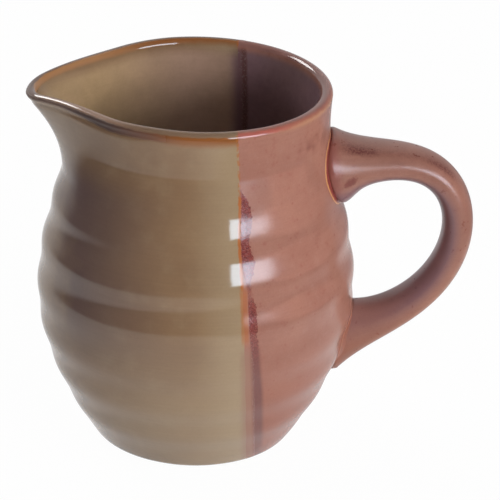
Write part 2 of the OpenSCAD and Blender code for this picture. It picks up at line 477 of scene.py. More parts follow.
# Up the overlap, the maroon pool in it: a height, where the pool begins and ends past the olive
# coat's edge, and how deep its colour is
pool_far = 6.0
pools = [(2, 2.2, 4.5, 0.7), (15, 2.1, 4.7, 0.9), (30, 2.0, 4.7, 1), (44, 1.8, 4.0, 0.95),
         (49, 1.6, 3.6, 0.9), (53.5, 1.4, 3.7, 1), (58.5, 1.4, 3.2, 0.9), (60.5, 1.5, 2.4, 0.4),
         (64.4, 1.1, 2.5, 0.8), (66.6, 0.8, 3.4, 1), (69, 0.5, 3.9, 1), (71.8, 0.5, 3.4, 1),
         (74.7, 0.4, 2.6, 1), (77.6, 0.3, 3.3, 1), (81.5, 0.3, 3.4, 1), (85.0, 0.3, 2.5, 1),
         (87.4, 0.3, 1.0, 1), (89, 0.2, 0.4, 0)]


def bare_stoneware():
    made, start = new_material("bare_stoneware")
    spot = Spot(start)
    cloud = spot.noise(9.0, 3.0)
    grit = spot.noise(0.5, 3.0)
    colour = mixed(cloud.between(0.3, 0.7), clay, clay_pale)
    colour = lit(grit, colour, 0.8, 1.15)
    colour = mixed(spot.specks(1.6, 0.2)*0.7, colour, iron_speck)
    wheel_lines = spot.noise(0.6, 2.0, spot.stretched(0.0, spot.z, (spot.x**2 + spot.y**2)**0.5))
    lay_finish(start, colour, 0.75 + 0.15*grit, 1.45, spot.bump(grit + wheel_lines, 0.35, 0.15))
    return made


def seam_marks(spot):
    """Shares of the maroon pool, the orange line and the pale line of the overlap."""
    past = spot.past_seam
    inside = spot.value("from_lip").between(1.0, 3.0)
    height = spot.z + 7.0*spot.y.between(-4.0, 4.0)
    stops = [(z/jug_h, (begins/pool_far, ends/pool_far, depth, 1)) for z, begins, ends, depth in pools]
    pool = spot.start.node("ShaderNodeValToRGB", {"stops": stops}, {"Fac": height/jug_h})
    parts = spot.start.node("ShaderNodeSeparateColor", {}, {0: pool})
    begins = parts.out("Red")*pool_far
    ends = parts.out("Green")*pool_far
    depth = parts.out("Blue")
    ragged = past + 1.5*(spot.noise(0.8, 3.0) - 0.5)*height.between(40.0, 50.0)
    soft = 0.14 + 0.6*height.between(50.0, 42.0)
    shape = past.between(begins - soft, begins + soft)*(1 - ragged.between(ends - soft, ends + soft))
    pits = spot.noise(0.32, 1.0).between(0.56, 0.66)*past.between(ends - 1.4, ends)
    pitted = 1 - 0.75*pits*height.between(44.0, 50.0)
    edge = (spot.noise(1.3, 2.0) - 0.5)*0.5
    uneven = past + edge
    soaked = 0.5*uneven.between(-3.0, 0.8)*(1 - uneven.between(1.9, 2.9))
    soaked = soaked + 0.42*(past + 0.3*edge).band(0.9, 2.2, 0.4)
    red = shape*depth*pitted*(1 - inside) + 0.8*inside*soaked
    thin = uneven.band(-0.25, 0.5, 0.18)*height.band(62.5, 87.0, 1.0)
    wide = uneven.band(-0.6, 1.3, 0.4)*height.band(47.0, 62.5, 2.0)
    dotted = spot.noise(1.0, 1.0).between(0.35, 0.55)*height.between(86.0, 89.0)
    dull = uneven.band(-0.4, 0.3, 0.15)*dotted
    line = (thin*0.9 + wide*0.6 + dull*0.6)*(1 - inside)
    pale = uneven.band(-1.0, 2.2, 1.0)*height.between(47.0, 42.0)*(1 - inside)
    return red, line, pale


def with_seam(spot, colour):
    """A coat's colour with the marks of the overlap on it, and the share of the maroon pool."""
    red, line, pale = seam_marks(spot)
    deep = mixed(spot.noise(0.5, 2.0).between(0.35, 0.62), maroon_deep, maroon)
    deep = mixed((1 - spot.z.between(36.0, 52.0))*0.8, deep, maroon_mauve)
    deep = mixed(spot.value("from_lip").between(1.0, 3.0)*0.8, deep, lip_dark)
    colour = mixed(pale*0.7, colour, dull_pink)
    colour = mixed(red*0.92, colour, deep)
    return mixed(line, colour, orange), red


def olive_coat():
    made, start = new_material("olive_glaze")
    spot = Spot(start)
    lip = spot.value("from_lip")
    cloud = spot.noise(18.0, 2.0)
    drift = spot.noise(6.0, 2.0)
    fine = spot.noise(0.7, 3.0)
    edge = spot.noise(2.2, 2.0) - 0.5

    # Outside: painted shade and painted dark reflection, deeper and mauve, on the spout side, and painted
    # light along its outer edge; paler by the overlap and near the foot
    colour = mixed(cloud.between(0.3, 0.7), olive_deep, olive)
    colour = mixed(drift.between(0.45, 0.8)*0.2, colour, olive_pale)
    spout_side = 1 - spot.x.between(-36.0, -2.0)
    spout_edge_light = 1 - (spot.x + 10.0*(drift - 0.5)).between(-43.0, -30.0)
    at_ridges = spot.z.between(26.0, 54.0)*(1 - 0.85*spot.z.between(81.0, 91.0))
    # Painted shade and painted dark reflection: the spout side, turned from the lamps, is darkened to mauve
    spout_shade_share = 0.85*spout_side*at_ridges*(1 - 0.6*spout_edge_light)
    colour = mixed(spout_shade_share, colour, olive_shade_mauve)
    # Painted light: the outer edge of the spout side is made paler
    colour = mixed(spout_edge_light*0.3, colour, olive_pale)
    pale_side = spot.past_seam.between(-16.0, -1.0)
    colour = mixed(pale_side*0.75, colour, olive_pale)
    pale_low = (1 - spot.z.between(18.0, 52.0))*spot.x.between(-34.0, -8.0)
    colour = mixed(pale_low*0.5, colour, olive_pale)

    # Inside
    tan = spot.noise(5.0, 4.0, roughness=0.7)
    inner = mixed(spot.past_seam.between(-42.0, -10.0), olive_inside, brown_inside)
    # Past the overlap inside: painted shade, the terracotta's darker, mauve inside
    inner = mixed(spot.past_seam.between(-4.0, 0.4), inner, terracotta_inside_shade)
    colour = mixed(lip.between(1.5, 6.0), colour, lit(tan, inner, 0.82, 1.16))
    lines = spot.finger_lines()
    colour = lit(fine, lit(lines, colour, 0.94, 1.06), 0.94, 1.05)

    # Round the lip: painted shadow, dark, under the spout's lip and rust in front, paler on top, then a
    # glow of rust inside
    near_spout = 1 - spot.x.between(-34.0, -10.0)
    band = lip + edge*0.5
    front = spot.x.between(-16.0, -2.0)
    low = 1.8 + 1.5*spot.x.between(-38.0, -22.0)
    top_low = 1.15 + 0.2*spot.x.between(-22.0, -14.0)
    far_lip = spot.y.between(-6.0, 6.0)
    spout_band = band.between(-0.5 - low, 0.4 - low)
    under_lip = spout_band + (band.between(-4.8, -2.4) - spout_band)*front
    # Painted shadow: the band under the spout's overhanging lip is darkened
    lip_colour = mixed(spot.x.between(-40.0, -30.0), lip_brown, lip_dark)
    lip_colour = mixed(front, mixed(spot.x.between(-26.0, -14.0), lip_colour, lip_rust), rust)
    on_top = band.between(-0.25 - top_low, 0.25 - top_low)
    colour = mixed(under_lip*(1 - on_top)*0.95, colour, lip_colour)
    dull = spout_band*(1 - on_top)*(1 - front)
    top_colour = mixed(spot.x.between(-46.5, -41.0), lip_brown, lip_pale)
    top_colour = mixed(spot.x.between(-28.0, -12.0), top_colour, taupe)
    top_colour = mixed(far_lip*0.8, top_colour, lip_brown)
    colour = mixed(on_top*(1 - band.between(0.2, 0.6))*0.9, colour, top_colour)
    glow = band.between(0.2, 0.6)*(1 - band.between(0.8, 2.6))
    colour = mixed(glow*0.85, colour, mixed(near_spout, rust, rust_pale))

    colour = with_seam(spot, colour)[0]
    peel = spot.noise(3.2, 2.0) + 0.15*fine + 0.25*lines
    lay_finish(start, colour, 0.06 + 0.05*fine + 0.45*dull, 1.58, spot.bump(peel, 0.05, 0.3))
    return made


def terracotta_colour(spot):
    """The satin rose brown of the handle side: mottled, with fine specks and deeper patches."""
    cloud = spot.noise(12.0, 3.0)
    mottle = spot.mottle()
    fine = spot.noise(0.45, 2.0)
    colour = mixed(cloud.between(0.3, 0.7), terracotta_deep, terracotta)
    colour = mixed(mottle.between(0.5, 0.78)*0.5, colour, terracotta_pale)
    colour = mixed(mottle.between(0.45, 0.22)*0.35, colour, maroon)
    colour = lit(fine, lit(spot.finger_lines(), colour, 0.93, 1.07), 0.9, 1.1)
    colour = mixed((1 - spot.z.between(15.0, 55.0))*0.7, colour, lit(fine, terracotta_low, 0.9, 1.1))
    return mixed(spot.specks(1.5, 0.12)*0.3, colour, maroon)


def terracotta_coat():
    made, start = new_material("terracotta_glaze")
    spot = Spot(start)
    lip = spot.value("from_lip")
    edge = spot.noise(2.0, 2.0) - 0.5
    fine = spot.noise(0.35, 2.0)
    mottle = spot.mottle()
    colour = terracotta_colour(spot)
    far_side = spot.x.between(18.0, 30.0)
    colour = mixed((lip + edge*0.8).band(-2.2, -0.9, 0.7)*far_side*0.5, colour, terracotta_tan)
    by_handle = spot.x.between(24.0, 31.0)*(1 - spot.y.between(-16.0, -4.0))
    smudge = spot.noise(4.0, 1.0).between(0.36, 0.7)*spot.z.band(93.4, 97.2, 2.0)*by_handle
    colour = mixed(smudge*0.5, colour, maroon_deep)
    band = lip + edge*0.6
    colour = mixed(band.band(-1.7, -0.7, 0.3)*(0.75 - 0.7*far_side), colour, rim_red)
    colour = mixed(band.band(-1.4, -0.4, 0.4)*far_side*0.5, colour, maroon)
    colour = mixed(band.band(-0.6, 1.6, 0.4)*0.75, colour, rim_rose)
    # Painted shade: inside the jug the terracotta is darker and mauve
    colour = mixed(lip.between(1.0, 4.0)*0.95, colour, lit(mottle, terracotta_inside_shade, 0.8, 1.2))
    colour, red = with_seam(spot, colour)
    rough = 0.18 + 0.08*mottle - red*0.1 - lip.between(-2.5, -0.5)*0.1
    grain = (fine + 0.8*mottle)*(1 - 0.9*lip.band(-2.6, 2.4, 0.6))
    lay_finish(start, colour, rough, 1.5, spot.bump(grain, 0.10, 0.12))
    return made


def overlap_coat():
    made, start = new_material("overlap_glaze")
    spot = Spot(start)
    lip = spot.value("from_lip")
    pits = spot.noise(0.35, 2.0)
    mottle = spot.mottle()
    colour = terracotta_colour(spot)
    colour = mixed(lip.band(-1.7, -0.7, 0.3)*0.75, colour, rim_red)
    colour = mixed(lip.band(-0.5, 1.6, 0.4)*0.75, colour, rim_rose)
    # Painted shade: inside the jug the terracotta is darker and mauve
    colour = mixed(lip.between(1.0, 4.0)*0.95, colour, terracotta_inside_shade)
    colour, red = with_seam(spot, colour)
    rough = 0.19 + 0.06*mottle - red*(0.17 - 0.3*pits.between(0.52, 0.6))
    lay_finish(start, colour, rough, 1.58, spot.bump(pits*red, 0.22, 0.14))
    return made


def slip_bead(name, pooled, broken):
    """The glaze over the slip's bead: one colour where it pools by the handle, another at the edge."""
    made, start = new_material(name)
    spot = Spot(start)
    across = spot.value("across")
    edge = spot.noise(1.2, 2.0) - 0.5
    fine = spot.noise(0.4, 2.0)
    colour = mixed((across + edge*0.2).between(0.62, 0.74), pooled, broken)
    colour = lit(fine, colour, 0.85, 1.12)
    lay_finish(start, colour, 0.25 + 0.12*fine, 1.5, spot.bump(fine, 0.15, 0.1))
    return made


def handle_coat():
    made, start = new_material("handle_glaze")
    spot = Spot(start)
    along = spot.value("along")
    outwards = spot.value("outwards")
    sideways = spot.value("sideways")
    lines = spot.stretched(outwards*5.0, sideways*5.0, along*14.0)
    streak = spot.noise(0.9, 3.0, lines, 0.6)
    edge = spot.noise(1.8, 2.0) - 0.5
    fine = spot.noise(0.4, 2.0)
    mottle = spot.mottle()
    colour = terracotta_colour(spot)

    # Smudges along the near edge of its top, and a dimple under its root
    smudges = along.band(0.05, 0.13, 0.03) + 0.8*along.band(0.29, 0.38, 0.03)
    smudges = smudges + 0.35*along.band(0.1, 0.38, 0.05)
    smudges = smudges*(outwards + edge*0.12).band(0.72, 0.93, 0.1)*(1 - sideways.between(-0.3, 0.0))
    smudges = smudges*(0.35 + 0.45*spot.noise(0.5, 1.0).between(0.35, 0.65))
    colour = mixed(smudges, colour, maroon_deep)
    dimple_x = spot.x - 41.6
    lean = (spot.z - 81.2) - 0.5*dimple_x
    oval = (dimple_x/1.6)**2 + (lean/1.2)**2 + edge*4.0 + (spot.noise(0.5, 2.0) - 0.5)*2.0
    dimple = (1 - oval.between(0.2, 2.2))*(1 - spot.y.between(-4.0, 0.0))
    colour = mixed(dimple*0.7, colour, mixed(spot.noise(0.6, 2.0), maroon_deep, maroon))

    # Pale streaks, a deeper upper end, painted shade in mauve on the inside of the bend, and orange on its
    # low edge
    colour = mixed(streak.between(0.62, 0.74)*0.25, colour, terracotta_pale)
    colour = mixed((along + edge*0.02).between(0.055, 0.02)*0.6, colour, maroon)
    # Painted shade: the inside of the bend, which faces the body, is darkened and made mauve
    inside = outwards.between(0.28, -0.4)*along.between(0.28, 0.5) + outwards.between(-0.2, -0.6)
    shade = inside.math("MINIMUM", inside, 1.0)*(0.7 - 0.4*along.between(0.74, 0.92))
    colour = mixed(shade, lit(mottle, colour, 0.8, 0.96), bend_shade_mauve)
    low_edge = outwards.band(0.35, 0.75, 0.2)*along.between(0.5, 0.75)
    colour = mixed(low_edge*(0.05 + 0.18*streak), colour, orange)
    lay_finish(start, colour, 0.24 + 0.1*mottle, 1.5, spot.bump(fine + 1.5*streak, 0.12, 0.12))
    return made


def new_mesh(name, points, faces, values):
    """A mesh from points in millimetres, with its doubles merged and its faces turned outwards."""
    mesh = bpy.data.meshes.new(name)
    mesh.from_pydata((points*MM).tolist(), [], faces)
    for title, numbers in values.items():
        layer = mesh.attributes.new(title, "FLOAT", "POINT")
        layer.data.foreach_set("value", np.asarray(numbers, np.float32))
    work = bmesh.new()
    work.from_mesh(mesh)
    bmesh.ops.remove_doubles(work, verts=work.verts, dist=weld_gap*MM)
    bmesh.ops.dissolve_degenerate(work, edges=work.edges, dist=weld_gap*MM/2)
    bmesh.ops.recalc_face_normals(work, faces=work.faces)
    work.to_mesh(mesh)
    work.free()
    mesh.polygons.foreach_set("use_smooth", np.ones(len(mesh.polygons), bool))
    mesh.set_sharp_from_angle(angle=smooth_angle)
    mesh.update()
    return mesh


def new_piece(name, mesh, material):
    piece = bpy.data.objects.new(name, mesh)
    bpy.context.scene.collection.objects.link(piece)
    mesh.materials.clear()
    mesh.materials.append(material)
    return piece


def throwing_ridge():
    """A tree that moves the outside of the wall in and out along one spiral, as fingers do."""
    tree = bpy.data.node_groups.new("throwing_ridge", "GeometryNodeTree")
    sizes = {"Height": ridge_h, "Growth": ridge_grows, "Middle": ridge_mid_z, "Start": ridge_start,
             "Turns": ridge_turns, "Spread": ridge_spread, "Foot": ridge_foot_z, "Fade": ridge_fade_z,
             "End": ridge_end_z, "Crease depth": crease_depth, "Crease height": crease_z,
             "Crease rise": crease_rise, "Crease width": crease_w, "Crease turn": crease_turn,
             "Crease reach": crease_half, "Crease bluntness": crease_blunt, "Groove depth": groove_depth,
             "Groove down": groove_down, "Groove width": groove_w, "Groove from": groove_from,
             "Groove to": groove_to}
    tree.interface.new_socket("Geometry", in_out="INPUT", socket_type="NodeSocketGeometry")
    for title in sizes:
        tree.interface.new_socket(title, in_out="INPUT", socket_type="NodeSocketFloat")
    tree.interface.new_socket("Glaze", in_out="INPUT", socket_type="NodeSocketMaterial")
    tree.interface.new_socket("Geometry", in_out="OUTPUT", socket_type="NodeSocketGeometry")
    given = Wire(tree).node("NodeGroupInput")
    place = given.node("GeometryNodeInputPosition")
    apart = given.node("ShaderNodeSeparateXYZ", {}, {0: place})
    turn = given.math("ARCTAN2", apart.out("Y"), apart.out("X"))
    z = apart.out("Z")/MM
    level = (z - given.out("Middle"))/given.out("Middle")
    wave = given.out("Start") + level*given.out("Turns") + level*level*given.out("Spread")
    fade = z.between(0.0, given.out("Foot"))*(1 - z.between(given.out("Fade"), given.out("End")))
    outside = given.node("GeometryNodeInputNamedAttribute", {"data_type": "FLOAT"}, {"Name": "outside"})
    height = (given.out("Height") + level*given.out("Growth"))*fade*outside
    from_crease = turn - given.out("Crease turn")
    level_off = z - given.out("Crease height") - from_crease*given.out("Crease rise")
    level_off = given.math("SQRT", level_off*level_off + given.out("Crease bluntness"))
    sharp = given.math("EXPONENT", 0 - level_off/given.out("Crease width"))
    reach = 1 - abs(from_crease/given.out("Crease reach")).between(0.55, 1.0)
    crease = given.out("Crease depth")*sharp*reach
    from_lip = given.node("GeometryNodeInputNamedAttribute", {"data_type": "FLOAT"}, {"Name": "from_lip"})
    off_groove = (from_lip + given.out("Groove down"))/given.out("Groove width")
    groove = given.out("Groove depth")*given.math("EXPONENT", 0 - off_groove*off_groove)
    groove = groove*(1 - (apart.out("X")/MM).between(given.out("Groove from"), given.out("Groove to")))
    out = (given.math("COSINE", wave*(2*math.pi) - turn)*height - (crease + groove)*outside)*MM
    push = given.node("ShaderNodeCombineXYZ", {}, {
        "X": out*given.math("COSINE", turn), "Y": out*given.math("SINE", turn), "Z": 0.0})
    shaped = given.node("GeometryNodeSetPosition", {}, {"Geometry": given.out("Geometry"), "Offset": push})
    real = given.node("GeometryNodeRealizeInstances", {}, {"Geometry": shaped})
    glazed = given.node("GeometryNodeSetMaterial", {}, {"Geometry": real, "Material": given.out("Glaze")})
    given.node("NodeGroupOutput", {}, {"Geometry": glazed})
    return tree, sizes


def with_ridge(piece, ridge, material):
    """Runs the ridge's tree on a piece and leaves the piece as a plain mesh."""
    tree, sizes = ridge
    modifier = piece.modifiers.new("throwing_ridge", "NODES")
    modifier.node_group = tree
    for item in tree.interface.items_tree:
        if item.in_out == "INPUT" and item.name in sizes:
            modifier[item.identifier] = sizes[item.name]
        elif item.in_out == "INPUT" and item.name == "Glaze":
            modifier[item.identifier] = material
    seen = piece.evaluated_get(bpy.context.evaluated_depsgraph_get())
    mesh = bpy.data.meshes.new_from_object(seen)
    piece.modifiers.remove(modifier)
    piece.data = mesh
    return piece


def finish_piece(piece, node):
    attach(piece, "root")
    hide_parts(node)


def ring_faces(rows, ring, skip=None):
    """Quads between rings of points, row by row. skip names ring edges to leave out, row by row."""
    faces = []
    for row in range(rows - 1):
        left_out = skip[row] if skip else ()
        for k in range(ring):
            if k in left_out:
                continue
            a = row*ring + k
            b = row*ring + (k + 1) % ring
            faces.append((a, b, b + ring, a + ring))
    return faces


def body_mesh():
    """The clay: out under the floor, round the foot and the heel, then the wall's path."""
    heel_turn = np.radians(np.linspace(0, 90, heel_steps))[:-1]
    heel_z = bare_h*(1 - np.cos(heel_turn))
    ring_r = foot_r - foot_ring
    hollow_r = ring_r - foot_hollow
    under_foot = [(0, foot_hollow), (hollow_r*0.5, foot_hollow), (hollow_r - 0.6, foot_hollow),
                  (hollow_r + 0.5, foot_hollow - 0.6), (ring_r - 0.4, 0.35), (ring_r + 0.3, 0.0)]
    under_r, under_z = np.array(under_foot).T
    r = np.concatenate([under_r, outer_r(heel_z), row_r])
    z = np.concatenate([under_z, heel_z, row_z])
    low_rows = len(under_r) + len(heel_z)
    outside = np.concatenate([np.zeros(low_rows), row_outside])
    from_lip = np.concatenate([np.full(low_rows, row_from_lip[0]), row_from_lip])
    turn = np.linspace(0, 2*np.pi, body_columns, endpoint=False)
    points = wall_points(r, z, np.tile(turn, (len(r), 1)), 0.0)
    values = {"outside": np.repeat(outside, body_columns), "from_lip": np.repeat(from_lip, body_columns)}
    return new_mesh("body", points.reshape(-1, 3), ring_faces(len(r), body_columns), values)


def coat_side(first, last, columns, extra, open_at):
    """Points, faces and values of a coat between two angles at each row, clay side and glossy side.
    It ends where it has no width left, in the middle of the floor."""
    share = np.linspace(0, 1, columns + 1)
    turn = first[:, None] + (last - first)[:, None]*share
    start = np.clip((row_z - bare_h)/glaze_edge_h, 0, 1)*row_outside + (1 - row_outside)
    room = np.clip(np.abs(last - first)*row_r/overlap_w, 0, 1)
    thick = glaze_t*np.sqrt(1 - (1 - start)**2)[:, None]
    thick = thick + extra*np.sin(np.pi*share)*(start*room)[:, None]
    top = wall_points(row_r, row_z, turn, thick)
    under = wall_points(row_r, row_z, turn, 0.0)
    narrow = np.flatnonzero(last == first)
    rows = narrow[0] + 1 if len(narrow) else len(row_r)
    points = np.concatenate([top, under[:, ::-1]], axis=1)[:rows]
    ring = points.shape[1]
    skip = [open_at(row, columns, ring) for row in range(rows - 1)]
    values = {"outside": np.repeat(row_outside[:rows], ring),
              "from_lip": np.repeat(row_from_lip[:rows], ring)}
    return points.reshape(-1, 3), ring_faces(rows, ring, skip), values


def joined(parts):
    """Several sets of points, faces and values as one."""
    points = np.concatenate([part[0] for part in parts])
    faces = []
    before = 0
    for part in parts:
        faces += [tuple(i + before for i in face) for face in part[1]]
        before += len(part[0])
    values = {title: np.concatenate([part[2][title] for part in parts]) for title in parts[0][2]}
    return points, faces, values


def seam_turn(across, shift):
    """The angle of the overlap's edge at each row, with a shift towards the spout on the far side."""
    safe_r = np.maximum(row_r, 1e-6)
    turn = np.arccos(np.clip(seam_x(row_z, across)/safe_r, -1, 1))
    for again in range(8):
        moved = shift*smooth((row_r*np.sin(turn) - far_from)/(far_to - far_from))
        turn = np.arccos(np.clip((seam_x(row_z, across) - moved)/safe_r, -1, 1))
    on_floor = row_from_lip > row_from_lip[-1] - floor_reach
    return np.where(on_floor & (row_r <= seam_x(floor_z, across) + 1e-6), 0, turn)


def coat_meshes():
    """The olive coat, the terracotta coat and the strip where they overlap."""
    olive_edge, olive_far = seam_turn(0.0, 0.0), seam_turn(0.0, far_shift)
    other_edge, other_far = seam_turn(overlap_w, 0.0), seam_turn(overlap_w, far_shift)

    def whole_ring(row, columns, ring):
        return (columns, ring - 1) if olive_edge[row] == 0 else ()

    def nothing(row, columns, ring):
        return ()

    def meets_other_side(row, columns, ring):
        return (ring - 1,) if other_edge[row] == 0 else ()

    olive_part = coat_side(olive_far, 2*np.pi - olive_edge, olive_columns, 0.0, whole_ring)
    other_part = coat_side(-other_edge, other_far, terracotta_columns, 0.0, nothing)
    sides = [coat_side(other_far, olive_far, overlap_columns, overlap_extra, meets_other_side),
             coat_side(-other_edge, -olive_edge, overlap_columns, overlap_extra, meets_other_side)]
    return (new_mesh("olive_glaze", *olive_part), new_mesh("terracotta_glaze", *other_part),
            new_mesh("glaze_overlap", *joined(sides)))


# The handle's centre line is one curve in the plane y = 0, from control points in shares of its size
handle_points = np.array([
    (outer_r(handle_top_z) - root_in + out*(handle_reach + root_in),
     handle_top_z + up*(handle_top_z - handle_low_z)) for out, up in handle_shares])


def curve(points, share):
    """The smooth curve that its control points pull into shape, at shares of its way."""
    order = len(points) - 1
    t = share[..., None]
    return sum(math.comb(order, i)*(1 - t)**(order - i)*t**i*p for i, p in enumerate(points))


def strap_points(along, turn, grow):
    """Points around the strap, at shares along its centre line and angles around it, grown all round.
    Past either end of the centre line, the section is pushed straight on."""
    t = np.clip(along, 0, 1)
    way = curve(np.diff(handle_points, axis=0), t)
    way = way/np.linalg.norm(way, axis=-1, keepdims=True)
    centre = curve(handle_points, t) + ((along - t)*root_push)[..., None]*way
    lobe = root_under_t/(1 + np.clip((t - root_under[0])/root_under[1], 0, None)**under_flare)
    flare = np.where(np.cos(turn) > 0, root_top_t*(1 - t)**top_flare, lobe)
    thick = handle_t/2 + flare + root_low_t*t**low_flare + grow
    wide = handle_w/2 + root_top_w*(1 - t)**side_flare + grow
    off = thick*np.sign(np.cos(turn))*np.abs(np.cos(turn))**strap_square
    y = wide*np.sign(np.sin(turn))*np.abs(np.sin(turn))**strap_square
    return np.stack([centre[..., 0] - way[..., 1]*off, y, centre[..., 1] + way[..., 0]*off], axis=-1)


def meets_wall(turn, grow, depth, top):
    """The share along the strap at which it leaves the wall, or meets it again, at each angle."""
    along = np.linspace(-0.12, 0.35, wall_steps) if top else np.linspace(1.2, 0.7, wall_steps)
    p = strap_points(along[:, None] + 0*turn, turn + 0*along[:, None], grow)
    gap = np.hypot(p[..., 0], p[..., 1]) - outer_r(p[..., 2]) - depth
    first = np.argmax(gap > 0, axis=0)
    column = np.arange(len(turn))
    g0 = gap[first - 1, column]
    g1 = gap[first, column]
    return along[first - 1] + (along[first] - along[first - 1])*(-g0/(g1 - g0))


strap_turn = np.linspace(0, 2*np.pi, strap_columns, endpoint=False)


def strap_rings(grow, depth, stations):
    """Rings of points from wall to wall. Close to the wall, the strap's edge is rounded off."""
    start = meets_wall(strap_turn, grow, depth, True)
    end = meets_wall(strap_turn, grow, depth, False)
    share = 0.5 - 0.5*np.cos(np.pi*np.linspace(0, 1, stations))
    along = start + (end - start)*share[:, None]
    turn = strap_turn + 0*along
    p = strap_points(along, turn, grow)
    gap = np.hypot(p[..., 0], p[..., 1]) - outer_r(p[..., 2]) - glaze_t
    corner = np.where(along < 0.5, root_round, low_round)
    near = np.clip(1 - gap/corner, 0, 1)
    return strap_points(along, turn, grow - corner*(1 - np.sqrt(1 - near**2))), along


def handle_mesh():
    """The strap of clay, closed at both ends inside the wall."""
    rings = strap_rings(0.0, -clay_let_in, clay_stations)[0]
    ends = np.stack([np.repeat(rings[i].mean(0)[None], strap_columns, 0) for i in (0, -1)])
    points = np.concatenate([ends[:1], rings, ends[1:]])
    return new_mesh("handle", points.reshape(-1, 3), ring_faces(len(points), strap_columns), {})


def handle_glaze_mesh():
    """The coat on the strap, from the clay out, closed by a ring at each end."""
    outer, along = strap_rings(glaze_t, -coat_let_in, glaze_stations)
    inner = strap_rings(coat_gap, -coat_let_in, glaze_stations)[0]
    points = np.concatenate([outer, inner[::-1], outer[:1]])
    turns = np.tile(strap_turn, (len(points), 1))
    shares = np.concatenate([along, along[::-1], along[:1]])
    values = {"along": shares.ravel(), "outwards": np.cos(turns).ravel(),
              "sideways": np.sin(turns).ravel()}
    return new_mesh("handle_glaze", points.reshape(-1, 3), ring_faces(len(points), strap_columns), values)


def slip_mesh(name, top, width, height, hollow):
    """A pad of slip on the wall under the end of the strap, with a bead that thins out around it.
    Beside the strap, the bead has its own width, height and hollow."""
    beside = np.abs(np.sin(strap_turn))**2
    loops = []
    for grow in (-pad_in, bead_least + (width - bead_least)*beside):
        along = meets_wall(strap_turn, grow, glaze_t, top)
        loops.append(strap_points(along, strap_turn, grow))
    inner, edge = [np.stack([np.arctan2(p[:, 1], p[:, 0]), p[:, 2]], axis=-1) for p in loops]
    middle = np.repeat(inner.mean(0)[None], strap_columns, 0)
    shares = np.concatenate([np.zeros(pad_rings), np.linspace(0, 1, bead_rings)])
    spread = np.concatenate([np.linspace(0, 1, pad_rings + 1)[:-1], np.ones(bead_rings)])
    outwards = shares[:, None, None]
    flat = middle + (inner - middle)*spread[:, None, None] + (edge - inner)*outwards
    tall = bead_h + (height - bead_h)*(0.5 + (beside - 0.5)*spread[:, None])
    sweep = bead_curve + (hollow - bead_curve)*beside
    rise = glaze_t + tall*(1 - shares[:, None])**sweep - bead_sink*shares[:, None]**8

    def on_wall(spots, height):
        r = outer_r(spots[..., 1]) + height
        return np.stack([r*np.cos(spots[..., 0]), r*np.sin(spots[..., 0]), spots[..., 1]], axis=-1)

    points = np.concatenate([on_wall(flat, rise), on_wall(flat[::-1], 0.0)]).reshape(-1, 3)
    rows = 2*len(shares)
    values = {"outside": np.ones(len(points)), "from_lip": np.full(len(points), row_from_lip[0]),
              "across": np.repeat(np.concatenate([shares, shares[::-1]]), strap_columns)}
    return new_mesh(name, points, ring_faces(rows, strap_columns), values)


def make_jug():
    """The pieces on the wall follow its ridge. The handle's two pieces stand clear of it."""
    ridge = throwing_ridge()
    stoneware = bare_stoneware()
    upper_bead = slip_bead("upper_slip_bead", maroon, orange_light)
    lower_bead = slip_bead("lower_slip_bead", terracotta_low, terracotta_orange)
    upper_slip = slip_mesh("upper_slip", True, bead_w, bead_h, bead_curve)
    lower_slip = slip_mesh("lower_slip", False, low_bead_w, low_bead_h, low_bead_curve)
    olive_mesh, terracotta_mesh, overlap_mesh = coat_meshes()
    on_wall = [
        (body_mesh(), stoneware, "body", "stoneware"),
        (olive_mesh, olive_coat(), "olive_glaze", "olive_glaze"),
        (terracotta_mesh, terracotta_coat(), "terracotta_glaze", "terracotta_glaze"),
        (overlap_mesh, overlap_coat(), "glaze_overlap", "overlap_glaze"),
        (upper_slip, upper_bead, "upper_slip_joint", "slip"),
        (lower_slip, lower_bead, "lower_slip_joint", "slip"),
    ]
    for mesh, material, node, slot in on_wall:
        piece = with_ridge(new_piece("glazed_" + node, mesh, material), ridge, material)
        finish_piece(piece, node)
    clay_strap = new_piece("strap_clay", handle_mesh(), stoneware)
    finish_piece(clay_strap, "handle")
    glazed_strap = new_piece("strap_glaze", handle_glaze_mesh(), handle_coat())
    finish_piece(glazed_strap, "handle_glaze")


def seen_white(start, dark, white):
    """A shader for plain light rays, and another for what the camera, gloss and glass see."""
    path = start.node("ShaderNodeLightPath")
    seen = path.out("Is Camera Ray") + path.out("Is Glossy Ray") + path.out("Is Transmission Ray")
    return start.node("ShaderNodeMixShader", {}, {0: seen.math("MINIMUM", seen, 1.0), 1: dark, 2: white})


def lay_floor():
    """A white table that keeps the jug's shadow, and is clear from below."""
    made, start = new_material("white_table")
    matt = start.node("ShaderNodeBsdfDiffuse", {}, {"Color": (0.86, 0.86, 0.86, 1)})
    glow = start.node("ShaderNodeEmission", {}, {"Color": (1, 1, 1, 1), "Strength": 1.0})
    shadowed = start.node("ShaderNodeMixShader", {}, {0: 0.975, 1: matt, 2: glow})
    under = start.node("ShaderNodeNewGeometry").out("Backfacing")
    clear = start.node("ShaderNodeBsdfTransparent")
    white = seen_white(start, matt, shadowed)
    lay_surface(start, start.node("ShaderNodeMixShader", {}, {0: under, 1: white, 2: clear}))
    work = bmesh.new()
    bmesh.ops.create_circle(work, cap_ends=True, segments=96, radius=4.0)
    mesh = bpy.data.meshes.new("white_table")
    work.to_mesh(mesh)
    work.free()
    table = new_piece("white_table", mesh, made)
    table.location.z = -0.02*MM


